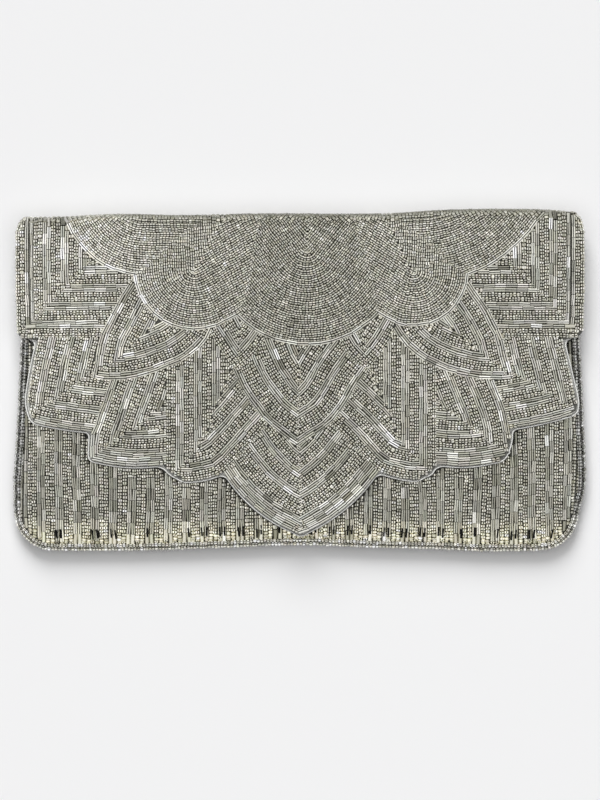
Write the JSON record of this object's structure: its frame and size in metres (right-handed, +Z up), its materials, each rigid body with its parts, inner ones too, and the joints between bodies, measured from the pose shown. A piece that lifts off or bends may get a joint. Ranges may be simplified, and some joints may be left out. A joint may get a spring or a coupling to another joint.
{
  "type": "beaded clutch",
  "caption": "Flat envelope clutch of cloth paved with silver-grey seed and bugle beads, its scalloped petal flap turned over the top and closed on the front.",
  "frame": {"origin": "centre of the clutch's plan box, on the surface that its back rests on", "axes": "+X along the width, +Y from the bottom edge towards the top fold, +Z up out of the front"},
  "size_m": [0.2799, 0.1673, 0.0176],
  "materials": {
    "beads": "silver-lined glass seed and bugle beads sewn on cloth",
    "edge_beads": "silver-lined glass seed beads",
    "lining": "silver-grey satin"
  },
  "bodies": {
    "root": {"back_panel": "beads", "front_panel": "beads", "flap": "beads", "edge_beading": "edge_beads", "flap_lining": "lining"}
  },
  "joints": []
}
